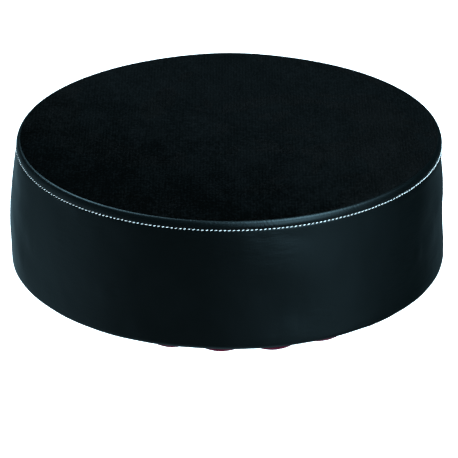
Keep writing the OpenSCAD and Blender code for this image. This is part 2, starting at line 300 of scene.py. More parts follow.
@dataclass(frozen=True)
class RibbedVelour(Finish):
    """Short dark pile in ribs from front to back, in soft patches, with painted sheen that makes it
    lighter towards the back and right.
    """

    dark: Colour = (0.0004, 0.0005, 0.0004)
    light: Colour = (0.0058, 0.0060, 0.0061)
    rib_pitch: float = 2.5 * MM
    rib_wander: float = 0.6
    pile_depth: float = 0.35 * MM

    def lay(self, tree: Tree) -> None:
        """Ribs are a sine across the seat, bent by noise; fibres are fine noise.

        Args:
            tree: the material's nodes.
        """
        place = tree.place()
        along = tree.stretched(place, (1.0, 0.12, 1.0))
        wander = tree.noise(along, 160.0) * self.rib_wander
        rib = (tree.axis(place, "X") * (TURN / self.rib_pitch) + wander * 2.0).sine() * 0.5 + 0.5
        nap = tree.noise(tree.stretched(place, (1.0, 0.6, 1.0)), 44.0, 5.0, 0.66).step(0.36, 0.66)
        fibre = tree.noise(place, 1300.0, 2.0, 0.7).step(0.3, 0.7)
        fleck = tree.noise(place, 440.0, 2.5, 0.62).step(0.44, 0.66)
        # Painted sheen: the pile's colour grows lighter towards the seat's back and right and darker at
        # its front left, as light falls on it.
        sheen_slope = tree.axis(place, "X") * 0.85 + tree.axis(place, "Y") + nap * 0.035
        painted_sheen = sheen_slope.step(-0.22, 0.06)
        share = nap * 0.16 + rib * 0.14 + fleck * 0.42 + fibre * 0.36 + painted_sheen * 0.5 - 0.45
        height = rib * 0.3 + fibre * 0.9 + fleck * 0.6
        tree.surface(
            Base_Color=tree.tint(share, self.dark, self.light),
            Roughness=0.9 + 0.08 * fibre,
            Specular_IOR_Level=0.01,
            Sheen_Weight=0.0015,
            Sheen_Roughness=0.42,
            Sheen_Tint=(0.5, 0.86, 1.0),
            Normal=tree.relief(height, self.pile_depth, 0.8),
        )


@dataclass(frozen=True)
class Leathercloth(Finish):
    """Black coated cloth with a fine pebbled grain and a soft shine."""

    colour: Colour = (0.0010, 0.0016, 0.0016)
    worn: Colour = (0.0014, 0.0022, 0.0024)
    seam_height: float = 0.164
    gather_depth: float = 0.22 * MM
    grain: float = 820.0
    grain_depth: float = 0.07 * MM
    crease_depth: float = 0.35 * MM
    shine: float = 0.29

    def lay(self, tree: Tree) -> None:
        """Grain is cells of about a millimetre with fine noise in them, and long soft creases.

        Args:
            tree: the material's nodes.
        """
        place = tree.place()
        bent = tree.make(
            "ShaderNodeVectorMath",
            {"operation": "ADD"},
            {0: place, 1: tree.make(
                "ShaderNodeVectorMath",
                {"operation": "SCALE"},
                {0: tree.make("ShaderNodeTexNoise", {}, {"Vector": place, "Scale": 500.0}).outputs[1],
                 "Scale": 0.0012},
            ).outputs[0]},
        ).outputs[0]
        pebble = tree.cells(bent, self.grain, "SMOOTH_F1")
        pore = tree.noise(place, 2600.0, 2.0, 0.6)
        line = tree.noise(tree.stretched(place, (0.4, 0.4, 1.7)), 150.0, 3.0, 0.55)
        patch = tree.noise(place, 11.0, 1.0).step(0.46, 0.64)
        handled = tree.noise(place, 14.0, 3.0, 0.55).step(0.35, 0.7)
        crossing = tree.noise(tree.stretched(place, (1.0, 1.0, 0.3)), 750.0, 2.0, 0.6)
        gathered = tree.axis(place, "Z").step(self.seam_height - 9 * MM, self.seam_height - 5 * MM)
        crease = line * patch + crossing * gathered * (self.gather_depth / self.crease_depth)
        grain = tree.relief(pebble * 0.75 + pore * 0.3, self.grain_depth, 0.7)
        tree.surface(
            Base_Color=tree.tint(handled * 0.6 + pebble * 0.4, self.colour, self.worn),
            Roughness=self.shine + 0.05 * handled + 0.05 * pebble,
            Specular_IOR_Level=0.25,
            Specular_Tint=(0.9, 0.97, 1.0),
            Normal=tree.relief(crease, self.crease_depth, 0.6, grain),
        )


@dataclass(frozen=True)
class TwistedThread(Finish):
    """White sewing thread, twisted from plies that show as slanting ridges."""

    pale: Colour = (0.84, 0.90, 0.92)
    shade: Colour = (0.62, 0.69, 0.72)
    plies: float = 5.0

    def lay(self, tree: Tree) -> None:
        """The ridges are a sine of the way along a stitch plus the way round it.

        Args:
            tree: the material's nodes.
        """
        own = tree.make("ShaderNodeUVMap", {"uv_map": "thread"}, {}).outputs[0]
        along, round_it = tree.axis(own, "X"), tree.axis(own, "Y")
        ridge = ((along * self.plies + round_it) * TURN).sine() * 0.5 + 0.5
        fuzz = tree.noise(tree.place(), 4000.0)
        tree.surface(
            Base_Color=tree.tint(ridge * 0.75 + fuzz * 0.35, self.shade, self.pale),
            Roughness=0.7 + 0.1 * fuzz,
            Sheen_Weight=0.2,
            Normal=tree.relief(ridge + 0.3 * fuzz, 0.12 * MM, 0.8),
        )


@dataclass(frozen=True)
class DustCloth(Finish):
    """Thin crimson cloth of bonded fibres with a grid of pressed dots."""

    deep: Colour = (0.055, 0.004, 0.014)
    lit: Colour = (0.16, 0.012, 0.04)
    dots: float = 480.0

    def lay(self, tree: Tree) -> None:
        """Fibres are stretched noise in two directions, and the dots are small round cells.

        Args:
            tree: the material's nodes.
        """
        place = tree.place()
        one_way = tree.noise(tree.stretched(place, (1.0, 0.16, 1.0)), 1300.0, 3.0, 0.65)
        other_way = tree.noise(tree.stretched(place, (0.16, 1.0, 1.0)), 1300.0, 3.0, 0.65)
        dot = 1.0 - tree.cells(place, self.dots).step(0.12, 0.34)
        fibre = one_way * 0.5 + other_way * 0.5
        cloudy = tree.noise(place, 60.0, 3.0)
        tree.surface(
            Base_Color=tree.tint(fibre * 0.7 + cloudy * 0.5 - dot * 0.25, self.deep, self.lit),
            Roughness=0.82 - 0.2 * dot,
            Specular_IOR_Level=0.25,
            Sheen_Weight=0.03,
            Sheen_Tint=(1.0, 0.5, 0.6),
            Normal=tree.relief(fibre - 0.5 * dot, 0.14 * MM, 0.7),
        )


class Metal(Enum):
    """The metal finishes of the bracket: base colour, roughness and depth of its marks."""

    ZINC = ((0.62, 0.63, 0.64), 0.34, 0.02 * MM)
    CHROME = ((0.74, 0.76, 0.78), 0.1, 0.008 * MM)


@dataclass(frozen=True)
class PlatedMetal(Finish):
    """Plated steel, with cloudy patches, fine drawn lines and rubbed spots."""

    metal: Metal = Metal.ZINC

    def lay(self, tree: Tree) -> None:
        """Lines are noise stretched along Z; patches and spots are rounder noise.

        Args:
            tree: the material's nodes.
        """
        colour, shine, depth = self.metal.value
        place = tree.place()
        line = tree.noise(tree.stretched(place, (1.0, 1.0, 0.05)), 2400.0, 2.0, 0.6)
        patch = tree.noise(place, 240.0, 3.0, 0.6).step(0.35, 0.7)
        spot = tree.noise(place, 900.0, 4.0, 0.7).step(0.6, 0.8)
        dull = tuple(0.72 * c for c in colour)
        tree.surface(
            Base_Color=tree.tint(patch * 0.45 + spot * 0.3, colour, dull),
            Metallic=1.0,
            Roughness=shine + 0.1 * patch + 0.12 * spot + 0.04 * line,
            Normal=tree.relief(line * 0.5 + patch, depth, 0.6),
        )


@dataclass(frozen=True)
class PowderCoat(Finish):
    """Black baked powder with a fine orange peel, rubbed paler in spots."""

    colour: Colour = (0.012, 0.013, 0.014)
    rubbed: Colour = (0.045, 0.046, 0.048)

    def lay(self, tree: Tree) -> None:
        """The peel is noise of about half a millimetre, and rubbed spots are sparse.

        Args:
            tree: the material's nodes.
        """
        place = tree.place()
        peel = tree.noise(place, 1700.0, 2.0, 0.5)
        rub = tree.noise(place, 120.0, 5.0, 0.7).step(0.58, 0.76)
        tree.surface(
            Base_Color=tree.tint(rub * 0.6 + peel * 0.12, self.colour, self.rubbed),
            Roughness=0.36 + 0.14 * rub + 0.08 * peel,
            Coat_Weight=0.15,
            Coat_Roughness=0.25,
            Normal=tree.relief(peel, 0.06 * MM, 0.6),
        )


@dataclass(frozen=True)
class BushPlastic(Finish):
    """Pale moulded plastic with faint flow marks and scuffs from the post."""

    colour: Colour = (0.58, 0.56, 0.5)
    scuffed: Colour = (0.34, 0.33, 0.3)

    def lay(self, tree: Tree) -> None:
        """Flow marks are noise stretched round, and scuffs noise stretched along the post.

        Args:
            tree: the material's nodes.
        """
        place = tree.place()
        flow = tree.noise(tree.stretched(place, (1.0, 1.0, 6.0)), 180.0, 3.0)
        scuff = tree.noise(tree.stretched(place, (1.0, 1.0, 0.08)), 900.0, 2.0, 0.6).step(0.6, 0.8)
        tree.surface(
            Base_Color=tree.tint(scuff * 0.6 + flow * 0.15, self.colour, self.scuffed),
            Roughness=0.42 + 0.2 * scuff + 0.1 * flow,
            Subsurface_Weight=0.08,
            Subsurface_Radius=(0.004, 0.003, 0.002),
            Normal=tree.relief(flow * 0.5 + scuff, 0.03 * MM, 0.6),
        )


@dataclass(frozen=True)
class Plywood(Finish):
    """Birch ply: long grain on its faces and thin layers round its edge."""

    pale: Colour = (0.5, 0.34, 0.19)
    dark: Colour = (0.27, 0.16, 0.08)
    layer: float = 1.5 * MM

    def lay(self, tree: Tree) -> None:
        """Grain is noise stretched along X, and the layers are a sine of the height.

        Args:
            tree: the material's nodes.
        """
        place = tree.place()
        grain = tree.noise(tree.stretched(place, (0.04, 1.0, 1.0)), 420.0, 4.0, 0.65)
        layers = (tree.axis(place, "Z") * (math.pi / self.layer)).sine() * 0.5 + 0.5
        tree.surface(
            Base_Color=tree.tint(grain * 0.6 + layers * 0.35, self.pale, self.dark),
            Roughness=0.62 + 0.2 * grain,
            Normal=tree.relief(grain + layers * 0.3, 0.1 * MM, 0.7),
        )


@dataclass(frozen=True)
class Foam(Finish):
    """Open foam or wadding: pits between soft walls, with painted shade that darkens the pits."""

    pale: Colour = (0.72, 0.66, 0.42)
    # deep: the colour of the painted shade in the middles of the pits
    deep: Colour = (0.4, 0.33, 0.17)
    pores: float = 900.0

    def lay(self, tree: Tree) -> None:
        """Pits are cells whose middles are deep and painted darker as shade, over slow blotches.

        Args:
            tree: the material's nodes.
        """
        place = tree.place()
        pit = tree.cells(place, self.pores).step(0.1, 0.6)
        blotch = tree.noise(place, 50.0, 3.0)
        tree.surface(
            # Painted shade: each pit's middle takes the deep colour, so the pits are darker than the
            # walls between them.
            Base_Color=tree.tint(pit * 0.7 + blotch * 0.3, self.deep, self.pale),
            Roughness=0.92 - 0.06 * pit,
            Specular_IOR_Level=0.2,
            Sheen_Weight=0.1,
            Normal=tree.relief(pit + 0.4 * blotch, 0.4 * MM, 0.8),
        )


VELOUR = RibbedVelour("velour_black")
LEATHERCLOTH = Leathercloth("leathercloth_black", seam_height=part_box("side_band")[1].z)
THREAD = TwistedThread("thread_white")
DUST_CLOTH = DustCloth("dust_cloth_crimson")
ZINC = PlatedMetal("zinc_plate", Metal.ZINC)
CHROME = PlatedMetal("chrome_plate", Metal.CHROME)
POWDER_COAT = PowderCoat("powder_coat_black")
BUSH_PLASTIC = BushPlastic("bush_plastic")
PLYWOOD = Plywood("birch_ply")
TOPPER_FOAM = Foam("topper_foam", (0.6, 0.68, 0.74), (0.3, 0.36, 0.42), 1200.0)
CORE_FOAM = Foam("core_foam")
BATTING = Foam("batting", (0.8, 0.79, 0.75), (0.5, 0.49, 0.46), 600.0)


# ---------------------------------------------------------------- surfaces


def smooth(x: Points, low: float, high: float) -> Points:
    """Smooth step: 0 below low, 1 above high, and a cubic between them."""
    t = np.clip((x - low) / (high - low), 0.0, 1.0)
    return t * t * (3 - 2 * t)


def bell(x: Points, middle: float, width: float) -> Points:
    """Bell curve of height 1 about a middle, falling to 1/e at width from it."""
    return np.exp(-(((x - middle) / width) ** 2))


def apart(theta: Points, middle: float) -> Points:
    """Angle from a middle, the short way round, between -pi and pi."""
    return (theta - middle + math.pi) % TURN - math.pi


def waves(
    theta: Points, along: Points, seed: int, turns: tuple[int, int], lengths: tuple[float, float]
) -> Points:
    """Soft unevenness: the mean of seeded sine waves over the angle and the way along.

    Args:
        theta: angles, one a row.
        along: distances along the profile, one a column.
        seed: what the waves are drawn from.
        turns: fewest and most waves round the seat.
        lengths: shortest and longest wave along the profile, in metres.

    Returns:
        A height for each row and column, with a spread of about 1.
    """
    draw = np.random.default_rng(seed)
    count = 36
    round_it = draw.integers(turns[0], turns[1] + 1, count)[:, None, None]
    down = (TURN / draw.uniform(*lengths, count) * draw.choice([-1, 1], count))[:, None, None]
    phase = draw.uniform(0, TURN, count)[:, None, None]
    waves_at = np.sin(round_it * theta[None, :, None] + down * along[None, None, :] + phase)
    return waves_at.sum(0) * math.sqrt(2.0 / count)


def spline_weights(at: Points, count: int, wrap: bool) -> Points:
    """Weights of a cubic B-spline, which rounds off a coarse row of values.

    Args:
        at: places in the coarse row, as fractional numbers of its values.
        count: how many values the coarse row has.
        wrap: whether its end joins its start.

    Returns:
        One row of weights over the coarse values for each place.
    """
    first = np.floor(at).astype(int)
    t = at - first
    shares = (
        (1 - t) ** 3 / 6,
        (3 * t**3 - 6 * t**2 + 4) / 6,
        (-3 * t**3 + 3 * t**2 + 3 * t + 1) / 6,
        t**3 / 6,
    )
    weights = np.zeros((len(at), count))
    for offset, share in zip((-1, 0, 1, 2), shares):
        index = first + offset
        index = index % count if wrap else np.clip(index, 0, count - 1)
        np.add.at(weights, (np.arange(len(at)), index), share)
    return weights


def turned(theta: Points, radius: Points, height: Points) -> Points:
    """Points of a profile turned about Z: (radius cos, radius sin, height).

    Args:
        theta: one angle a row.
        radius: a radius for each column, or for each row and column.
        height: the same for the heights.

    Returns:
        Rows by columns by 3.
    """
    radius, height = np.broadcast_arrays(radius, height)
    radius = np.broadcast_to(radius, (len(theta), radius.shape[-1]))
    height = np.broadcast_to(height, radius.shape)
    return np.stack(
        [radius * np.cos(theta)[:, None], radius * np.sin(theta)[:, None], height], axis=-1
    )


def all_round(rows: int) -> Points:
    """Even angles, one a row, over a whole turn."""
    return np.arange(rows) / rows * TURN


def walked(path: Points) -> Points:
    """Distance along a profile to each of its points: the running sum of its chords."""
    return np.concatenate([[0], np.cumsum(np.hypot(*np.diff(path, axis=1)))])


def outward(radius: Points, height: Points) -> tuple[Points, Points]:
    """Unit normals of a profile that runs outwards over the top and then down.

    They are its differences turned by a right angle.

    Args:
        radius: the radius at each point.
        height: the height at each point.

    Returns:
        The radial and the upward part at each of its points.
    """
    dr, dz = np.gradient(radius), np.gradient(height)
    length = np.hypot(dr, dz)
    return -dz / length, dr / length


class Skin(Enum):
    """How a profile's two ends are closed."""

    LOOP = "its end joins its start"
    POLES = "both ends lie on the axis"


def quads(index: Points, after: Points) -> list:
    """Faces between each row of point numbers and the next, from column to column."""
    corners = [index[:, :-1], index[:, 1:], after[:, 1:], after[:, :-1]]
    return np.stack(corners, axis=-1).reshape(-1, 4).tolist()


def lathe_mesh(name: str, points: Points, ends: Skin) -> bpy.types.Mesh:
    """Closed mesh of a turned grid, with quads between neighbouring rows and columns.

    Args:
        name: the mesh's name.
        points: rows by columns by 3, with the rows going round.
        ends: how the profile is closed; poles use the first and last columns' means.

    Returns:
        A mesh whose faces point outwards when the profile runs out over the top and down.
    """
    rows, columns = points.shape[:2]
    index = np.arange(rows * columns).reshape(rows, columns)
    if ends is Skin.LOOP:
        index = np.concatenate([index, index[:, :1]], axis=1)
    after = np.roll(index, -1, axis=0)
    faces = quads(index, after)
    places = points.reshape(-1, 3)
    if ends is Skin.POLES:
        top, low = rows * columns, rows * columns + 1
        poles = np.stack([points[:, 0].mean(0), points[:, -1].mean(0)])
        places = np.concatenate([places, poles])
        faces += [(top, i, j) for i, j in zip(index[:, 0].tolist(), after[:, 0].tolist())]
        faces += [(low, j, i) for i, j in zip(index[:, -1].tolist(), after[:, -1].tolist())]
    return mesh_of(name, places, faces)


def mesh_of(name: str, places: Points, faces: list) -> bpy.types.Mesh:
    """Mesh that is shaded smooth.

    Args:
        name: the mesh's name.
        places: its points, one a row.
        faces: the point numbers of each face.

    Returns:
        The mesh.
    """
    mesh = bpy.data.meshes.new(name)
    mesh.from_pydata(places.tolist(), [], faces)
    mesh.polygons.foreach_set("use_smooth", np.ones(len(mesh.polygons), bool))
    mesh.update()
    return mesh


def piece(name: str, mesh: bpy.types.Mesh, finish: Finish, body: str) -> bpy.types.Object:
    """A finished piece of the seat.

    Args:
        name: the piece's name.
        mesh: its mesh, in the seat's frame.
        finish: its material.
        body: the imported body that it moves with.

    Returns:
        The object, at the origin.
    """
    made = bpy.data.objects.new(name, mesh)
    bpy.context.scene.collection.objects.link(made)
    mesh.materials.append(finish.material())
    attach(made, body)
    LOG.info("%s: %d points", name, len(mesh.vertices))
    return made


# ---------------------------------------------------------------- the seat's measures


@dataclass(frozen=True)
class Measures:
    """Sizes and heights of the upholstery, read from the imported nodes."""

    r_seam: float
    z_seam: float
    z_crown: float
    r_stitch: float
    z_stitch: float
    r_widest: float
    z_band: float
    r_band_end: float
    r_cover: float
    z_cover_low: float
    z_plate_top: float
    r_plate: float
    widest_drop: float = 52 * MM
    slack_in: float = 0.3 * MM
    flare: float = 1.5 * MM
    corner_r: float = 5.5 * MM
    band_t: float = 1.2 * MM
    roll_r: float = 175.3 * MM
    full_left: float = 3.4 * MM
    full_drop: float = 72 * MM
    full_reach: float = 42 * MM
    flat_right: float = 1.2 * MM
    rear_lift: float = 1.3 * MM
    rear_reach: float = 0.3

    @classmethod
    def from_frame(cls) -> "Measures":
        """Read every size from the boxes of the nodes that hold it.

        Returns:
            The seat's measures.
        """
        _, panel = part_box("top_panel")
        band_low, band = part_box("side_band")
        thread_low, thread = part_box("top_stitching")
        _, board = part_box("seat_board")
        cover_low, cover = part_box("dust_cover")
        _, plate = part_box("bracket_plate")
        thread_r = (thread.z - thread_low.z) / 2
        turn_under = 20 * MM
        return cls(
            r_seam=panel.x,
            z_seam=band.z,
            z_crown=panel.z,
            r_stitch=thread.x - thread_r,
            z_stitch=thread.z - thread_r,
            r_widest=band.x,
            z_band=band_low.z,
            r_band_end=board.x - turn_under,
            r_cover=cover.x,
            z_cover_low=cover_low.z,
            z_plate_top=plate.z,
            r_plate=plate.x * math.sqrt(2),
        )


@dataclass(frozen=True)
class Staples:
    """The ring of staples that draws the cover in under the board."""

    count: int = 24
    first: float = math.radians(5)
    gather: float = 0.42
    tight: float = 0.46
    loose_at: float = math.radians(9)
    loose_reach: float = 0.8

    def puff(self, theta: Points) -> Points:
        """Rise of the cloth between the staples.

        It is a power of the raised cosine of the angle, which is 0 at each staple, times a
        bell that leaves the cloth loosest at the front.

        Args:
            theta: the angles.

        Returns:
            A rise at each angle, about 1 at most.
        """
        phase = (theta - self.first) * self.count
        between = (0.5 - 0.5 * np.cos(phase)) ** self.gather
        uneven = np.random.default_rng(11).uniform(0.88, 1.12, self.count)
        number = ((theta - self.first) % TURN / TURN * self.count).astype(int) % self.count
        middle = self.first + (number + 0.5) * TURN / self.count
        loosest = bell(apart(middle, FRONT + self.loose_at), 0.0, self.loose_reach)
        return between * uneven[number] * (self.tight + (1 - self.tight) * loosest)


# ---------------------------------------------------------------- the cover


def crown(sizes: Measures, rho: Points) -> Points:
    """Height of the top: a parabola from the middle down to the seam."""
    return sizes.z_seam + (sizes.z_crown - sizes.z_seam) * (1 - (rho / sizes.r_seam) ** 2)


def lower_edge(sizes: Measures, round_it: int, along: int) -> Points:
    """Profile of the lower corner, a quarter circle, and of the flat margin inside it.

    Args:
        sizes: the seat's measures.
        round_it: steps round the corner.
        along: steps along the margin.

    Returns:
        A row of radii and a row of heights.
    """
    a = np.linspace(0, math.pi / 2, round_it)[1:]
    middle = sizes.r_widest - sizes.slack_in + sizes.flare - sizes.corner_r
    corner = np.stack([
        middle + sizes.corner_r * np.cos(a), sizes.z_band + sizes.corner_r * (1 - np.sin(a))
    ])
    under = np.linspace(middle, sizes.r_band_end, along)[1:]
    margin = np.stack([under, np.full_like(under, sizes.z_band)])
    return np.concatenate([corner, margin], axis=1)


@dataclass
class PaddedSkin:
    """The whole cover as one coarse cloth, blown up by the padding inside it."""

    sizes: Measures
    staples: Staples
    rows: int = 192
    spacing: float = 5 * MM
    hole: float = 12 * MM
    frames: int = 20
    pressure: float = 4.0
    hand: float = 0.5 * MM
    cap: float = 6 * MM
    share: float = 0.16
    weave: dict[str, Any] = field(default_factory=lambda: {
        "quality": 6,
        "mass": 0.4,
        "tension_stiffness": 40,
        "compression_stiffness": 40,
        "shear_stiffness": 12,
        "bending_stiffness": 1.5,
        "vertex_group_mass": "held",
        "pin_stiffness": 1.0,
        "vertex_group_shrink": "tight",
        "shrink_min": -0.012,
        "shrink_max": 0.016,
        "use_pressure": True,
    })
    rise: Points = field(init=False)
    first_u: float = field(init=False)

    def profile(self) -> tuple[Points, Points, Points]:
        """Profile of the skin at even steps along it.

        It is the crown's parabola, a quarter of an ellipse over the roll, the side, a round
        corner and the flat margin, walked at even steps.

        Returns:
            Distance past the seam, radius and height; the distance is negative on the top.
        """
        s = self.sizes
        rho = np.linspace(self.hole, s.r_seam, 200)
        top = np.stack([rho, crown(s, rho)])
        a = np.linspace(0, math.pi / 2, 40)[1:]
        roll = np.stack([
            s.r_seam + (s.roll_r - s.r_seam) * np.sin(a),
            s.z_stitch + (s.z_seam - s.z_stitch) * np.cos(a),
        ])
        z = np.linspace(s.z_stitch, s.z_band + s.corner_r, 200)[1:]
        side = np.stack([side_radius(s, z), z])
        path = np.concatenate([top, roll, side, lower_edge(s, 60, 40)], axis=1)
        way = walked(path)
        steps = np.arange(0, way[-1], self.spacing)
        radius, height = (np.interp(steps, way, row) for row in path)
        return steps - way[len(rho) - 1], radius, height

    def inflate(self) -> None:
        """Blow up the cloth and keep the uneven part of its rise along the normals."""
        u, radius, height = self.profile()
        self.first_u = float(u[0])
        theta = all_round(self.rows)
        self.rise = np.zeros((self.rows, len(u)))
        hand = self.hand * waves(theta, u, 3, (3, 11), (0.05, 0.16))
        nr, nz = outward(radius, height)
        start = turned(theta, radius + nr * hand, height + nz * hand)
        columns = len(u)
        index = np.arange(self.rows * columns).reshape(self.rows, columns)
        mesh = mesh_of("padded_skin", start.reshape(-1, 3), quads(index, np.roll(index, -1, axis=0)))
        cloth = bpy.data.objects.new("padded_skin", mesh)
        bpy.context.scene.collection.objects.link(cloth)
        held = self._held(theta, u)
        pins = cloth.vertex_groups.new(name="held")
        for level in np.unique(held[held > 0]):
            pins.add(index[held == level].tolist(), float(level), "REPLACE")
        tight = cloth.vertex_groups.new(name="tight")
        pull = np.round(0.5 + 0.5 * np.clip(waves(theta, u, 5, (5, 23), (0.03, 0.12)), -1, 1), 1)
        for level in np.unique(pull):
            tight.add(index[pull == level].tolist(), float(level), "REPLACE")
        moved = self._simulate(cloth).reshape(self.rows, columns, 3)
        bpy.data.objects.remove(cloth)
        shift = moved - start
        out = (
            (shift[..., 0] * np.cos(theta)[:, None] + shift[..., 1] * np.sin(theta)[:, None]) * nr
            + shift[..., 2] * nz
        ) + hand
        out = np.clip(self.share * (out - out.mean(axis=0)), -self.cap, self.cap)
        self.rise = np.where(np.isfinite(out), out, 0.0)
        LOG.info("padded skin: rise from %.2f to %.2f mm", self.rise.min() / MM, self.rise.max() / MM)

    def _held(self, theta: Points, u: Points) -> Points:
        """How firmly each point is held: at the seam, at the staples and round the hole.

        Args:
            theta: one angle a row.
            u: one distance past the seam a column.

        Returns:
            A share from 0 to 1 for each row and column.
        """
        at_seam = 0.7 * bell(u, 0.0, 4 * MM)[None, :]
        near_staple = (1 - self.staples.puff(theta))[:, None] > 0.93
        at_staple = near_staple * (u[None, :] > u[-1] - 22 * MM)
        at_end = np.ones(len(theta))[:, None] * (u[None, :] > u[-1] - 9 * MM)
        at_hole = np.ones(len(theta))[:, None] * (u[None, :] < u[0] + 2 * MM)
        held = np.maximum.reduce([at_seam + 0 * at_end, at_staple, at_end, at_hole])
        return np.round(held, 1)

    def _simulate(self, cloth: bpy.types.Object) -> Points:
        """Run Blender's cloth with the padding's pressure.

        Args:
            cloth: the coarse skin, with its held and tight groups.

        Returns:
            The points after the last frame, one after another.
        """
        scene = bpy.context.scene
        worn = cloth.modifiers.new("worn", "CLOTH")
        for clock in (scene, worn.point_cache):
            clock.frame_start, clock.frame_end = 1, self.frames
        for name, value in self.weave.items():
            setattr(worn.settings, name, value)
        worn.settings.uniform_pressure_force = self.pressure
        worn.settings.effector_weights.gravity = 0
        worn.collision_settings.use_collision = False
        for step in range(1, self.frames + 1):
            scene.frame_set(step)
        shaped = cloth.evaluated_get(bpy.context.evaluated_depsgraph_get())
        points = np.empty(len(shaped.data.vertices) * 3, np.float32)
        shaped.data.vertices.foreach_get("co", points)
        scene.frame_set(1)
        return points.astype(float)

    def rise_at(self, theta: Points, u: Points) -> Points:
        """The skin's uneven rise, rounded off by a spline.

        Args:
            theta: one angle a row.
            u: one distance past the seam a column.

        Returns:
            A rise for each row and column.
        """
        by_row = spline_weights(theta % TURN / TURN * self.rows, self.rows, True)
        place = np.clip((u - self.first_u) / self.spacing, 0, self.rise.shape[1] - 1)
        by_column = spline_weights(place, self.rise.shape[1], False)
        return by_row @ self.rise @ by_column.T


def side_radius(sizes: Measures, z: Points) -> Points:
    """Radius of the side: a sine out to the full line, then a parabola that flares slowly.

    Args:
        sizes: the seat's measures.
        z: heights on the side.

    Returns:
        A radius at each height.
    """
    z_full = sizes.z_seam - sizes.widest_drop
    z_corner = sizes.z_band + sizes.corner_r
    r_full = sizes.r_widest - sizes.slack_in
    over = np.clip((sizes.z_stitch - z) / (sizes.z_stitch - z_full), 0, 1)
    under = np.clip((z_full - z) / (z_full - z_corner), 0, 1)
    return sizes.roll_r + (r_full - sizes.roll_r) * np.sin(math.pi / 2 * over) + sizes.flare * under**2


def side_lean(sizes: Measures, theta: Points, height: Points) -> Points:
    """How far the padding is fuller on the seat's left and flatter on its right.

    Each side's part is the square of the cosine. The left's is a bell over the height.

    Args:
        sizes: the seat's measures.
        theta: one angle a row.
        height: the height of each column.

    Returns:
        An outward shift for each row and column.
    """
    left = np.clip(-np.cos(theta), 0, 1)[:, None] ** 2
    right = np.clip(np.cos(theta), 0, 1)[:, None] ** 2
    full = sizes.full_left * bell(height, sizes.z_seam - sizes.full_drop, sizes.full_reach)
    return (left * full - right * sizes.flat_right) * smooth(
        sizes.z_stitch - height, 0.0, 14 * MM)


def rear_lift(sizes: Measures, theta: Points) -> Points:
    """Rise of the rim over the joint at the rear: a bell over the angle, one a row."""
    return sizes.rear_lift * bell(apart(theta, REAR), 0.0, sizes.rear_reach)


def stitch_sway(theta: Points) -> Points:
    """How much the line of stitches wanders: a slow dip of a millimetre on the left."""
    return -1.2 * MM * bell(apart(theta, FRONT - math.radians(52)), 0.0, 0.5)


@dataclass
class TopPanel:
    """The velour panel: a low crown that rolls over into the seam."""

    sizes: Measures
    skin: PaddedSkin
    rows: int = 432
    cloth_t: float = 2 * MM
    edge: float = 1.3 * MM
    edge_drop: float = 0.6 * MM
    edge_in: float = 0.35 * MM
    tuck: float = 3.6 * MM
    sat_on: float = 0.35 * MM
    pucker: float = 0.8 * MM
    pucker_lengths: tuple[float, ...] = (20 * MM, 32 * MM, 14 * MM)
    puckers: tuple[float, ...] = (-97.0, -91.5, -84.0, -71.0, 63.0, 88.0, 171.0)

    def build(self) -> bpy.types.Object:
        """Make the panel.

        Its height is the crown's parabola, less a square law over the last stretch to the
        seam, plus the skin's rise and a few short creases that run in from the edge.

        Returns:
            The velour piece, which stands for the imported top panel.
        """
        s = self.sizes
        theta = all_round(self.rows)
        rim = s.r_seam - self.edge_in
        rho = np.concatenate([
            np.linspace(4 * MM, rim - 12 * MM, 52),
            np.linspace(rim - 12 * MM, rim - self.edge, 9)[1:],
            rim - self.edge * np.cos(np.linspace(0, math.pi / 2, 8)[1:]),
        ])
        over = np.clip((rho - rim + self.edge) / self.edge, 0, 1)
        low_crown = crown(s, rho) - self.edge_drop * over**2
        uneven = self.skin.rise_at(theta, rho - s.r_seam) * (1 - 0.7 * over)
        sat_on = self.sat_on * waves(theta, rho, 21, (1, 5), (0.09, 0.3)) * smooth(rho, 0.0, 0.09)
        upper = low_crown + uneven * 0.6 + sat_on * (1 - over) + self._creases(theta, rho)
        upper = upper + rear_lift(s, theta)[:, None] * smooth(rho, rim - 45 * MM, rim)
        outer = turned(theta, rho, upper)
        down = np.array([0.35, 1.0]) * self.tuck
        hem = turned(theta, np.full(2, rim), upper[:, -1:] - down)
        back = rho[::-6]
        back = back - self.cloth_t * (back > rim - self.cloth_t)
        under = turned(theta, back, upper[:, ::-6] - self.cloth_t)
        mesh = lathe_mesh("top_panel_velour", np.concatenate([outer, hem, under], axis=1), Skin.POLES)
        made = piece("top_panel_velour", mesh, VELOUR, "seat")
        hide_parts("top_panel")
        return made

    def _creases(self, theta: Points, rho: Points) -> Points:
        """Short creases that run in from the seam: a dip between two low ridges.

        Args:
            theta: one angle a row.
            rho: one radius a column.

        Returns:
            A height for each row and column.
        """
        height = np.zeros((len(theta), len(rho)))
        inward = self.sizes.r_seam - rho
        for number, degrees in enumerate(self.puckers):
            middle = FRONT + math.radians(degrees)
            length = self.pucker_lengths[number % len(self.pucker_lengths)]
            across = apart(theta, middle)[:, None] * rho[None, :]
            bend = across + 0.25 * inward[None, :] * (-1) ** number
            shape = 0.6 * bell(bend, 3.4 * MM, 1.8 * MM) - bell(bend, 0.0, 1.7 * MM)
            fade = (1 - smooth(inward, 0.2 * length, length)) * smooth(inward, 0.0, 3 * MM)
            height += self.pucker * shape * fade[None, :]
        return height


